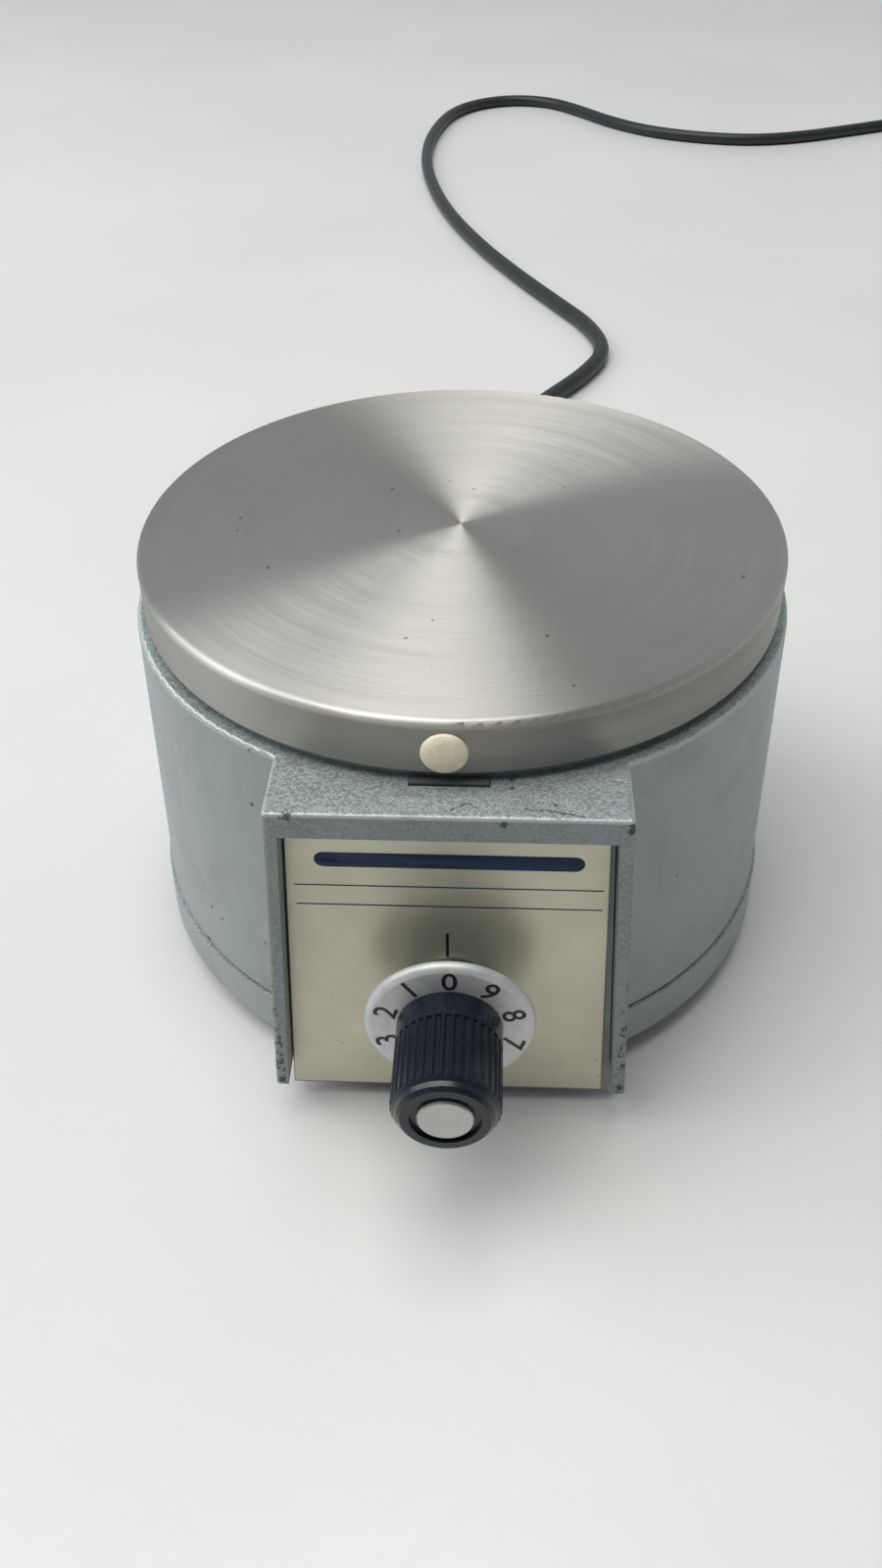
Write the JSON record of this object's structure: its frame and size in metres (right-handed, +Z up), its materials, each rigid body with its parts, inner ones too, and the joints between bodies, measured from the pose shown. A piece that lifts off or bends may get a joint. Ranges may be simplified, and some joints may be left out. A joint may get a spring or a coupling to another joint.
{
  "type": "magnetic stirrer",
  "caption": "Round magnetic stirrer with a spun steel top plate, cast body, recessed control panel and numbered speed knob.",
  "frame": {"origin": "the point where the stirring axis meets the bench", "axes": "+Z up along the stirring axis, -Y towards the control panel, +X to the right of somebody facing the panel"},
  "size_m": [0.5018, 0.9991, 0.111],
  "materials": {
    "cast_housing": "blue-grey hammered enamel on an aluminium casting",
    "spun_steel": "spun stainless steel with circular brushing",
    "ivory_nylon": "aged ivory nylon",
    "black_rubber": "moulded black rubber",
    "base_enamel": "blue-grey enamel",
    "zinc_fastener": "zinc plated steel",
    "panel_steel": "grey enamel on sheet steel",
    "champagne_plate": "champagne anodised nameplate",
    "phenolic": "moulded phenolic",
    "resistance_wire": "resistance wire on a ceramic ring",
    "steel_shaft": "ground steel",
    "satin_dial": "satin metal with black figures",
    "black_knob": "fluted black knob",
    "knob_inlay": "spun aluminium disc",
    "lamination": "stacked silicon steel",
    "copper_winding": "taped enamelled copper winding",
    "bobbin_nylon": "natural nylon",
    "bronze": "oil-filled bronze",
    "brass": "turned brass",
    "aluminium": "machined aluminium",
    "magnet_ferrite": "sintered ferrite",
    "wire_sheath": "coloured wire insulation",
    "cord_jacket": "black mains cord jacket",
    "plug_vinyl": "moulded black vinyl"
  },
  "bodies": {
    "base": {"housing": "cast_housing", "top_plate": "spun_steel", "plate_button": "ivory_nylon", "plate_pad": "black_rubber", "base_pan": "base_enamel", "rubber_feet": "black_rubber", "foot_screws": "zinc_fastener", "housing_screws": "zinc_fastener", "panel_screws": "zinc_fastener", "front_panel": "panel_steel", "nameplate": "champagne_plate", "rheostat_case": "phenolic", "rheostat_winding": "resistance_wire", "rheostat_lugs": "brass", "control_washer": "zinc_fastener", "control_nut": "zinc_fastener", "motor_stator": "lamination", "coil_bobbin": "bobbin_nylon", "motor_coil": "copper_winding", "lower_bracket": "aluminium", "upper_bracket": "aluminium", "lower_bearing": "bronze", "upper_bearing": "bronze", "motor_standoffs": "zinc_fastener", "stator_spacers": "zinc_fastener", "motor_bolts": "zinc_fastener", "motor_nuts": "zinc_fastener", "terminal_block": "phenolic", "earth_screw": "brass", "supply_wires": "wire_sheath", "coil_leads": "wire_sheath", "control_leads": "wire_sheath", "strain_relief": "black_rubber", "cord_in_gland": "cord_jacket", "cord": "cord_jacket", "cord_coil": "cord_jacket", "cord_tail": "cord_jacket", "coil_tie": "bobbin_nylon", "plug_body": "plug_vinyl", "plug_blades": "brass", "plug_earth_pin": "brass"},
    "speed_knob": {"dial_skirt": "satin_dial", "knob_body": "black_knob", "knob_cap": "knob_inlay", "knob_setscrew": "zinc_fastener", "spindle": "steel_shaft", "wiper_arm": "brass"},
    "stirring_rotor": {"rotor": "lamination", "motor_shaft": "steel_shaft", "magnet_hub": "aluminium", "hub_setscrew": "zinc_fastener", "magnet_carrier": "steel_shaft", "drive_magnets": "magnet_ferrite"}
  },
  "joints": [
    {"name": "knob_turn", "type": "hinge", "parent": "base", "child": "speed_knob", "pos_m": [0.0005, -0.08214, 0.0425], "axis": [0, 0.9993, -0.0384], "range_deg": [0, 324]},
    {"name": "rotor_spin", "type": "hinge", "parent": "base", "child": "stirring_rotor", "pos_m": [0, 0, 0.054], "axis": [0, 0, 1], "continuous": true}
  ]
}
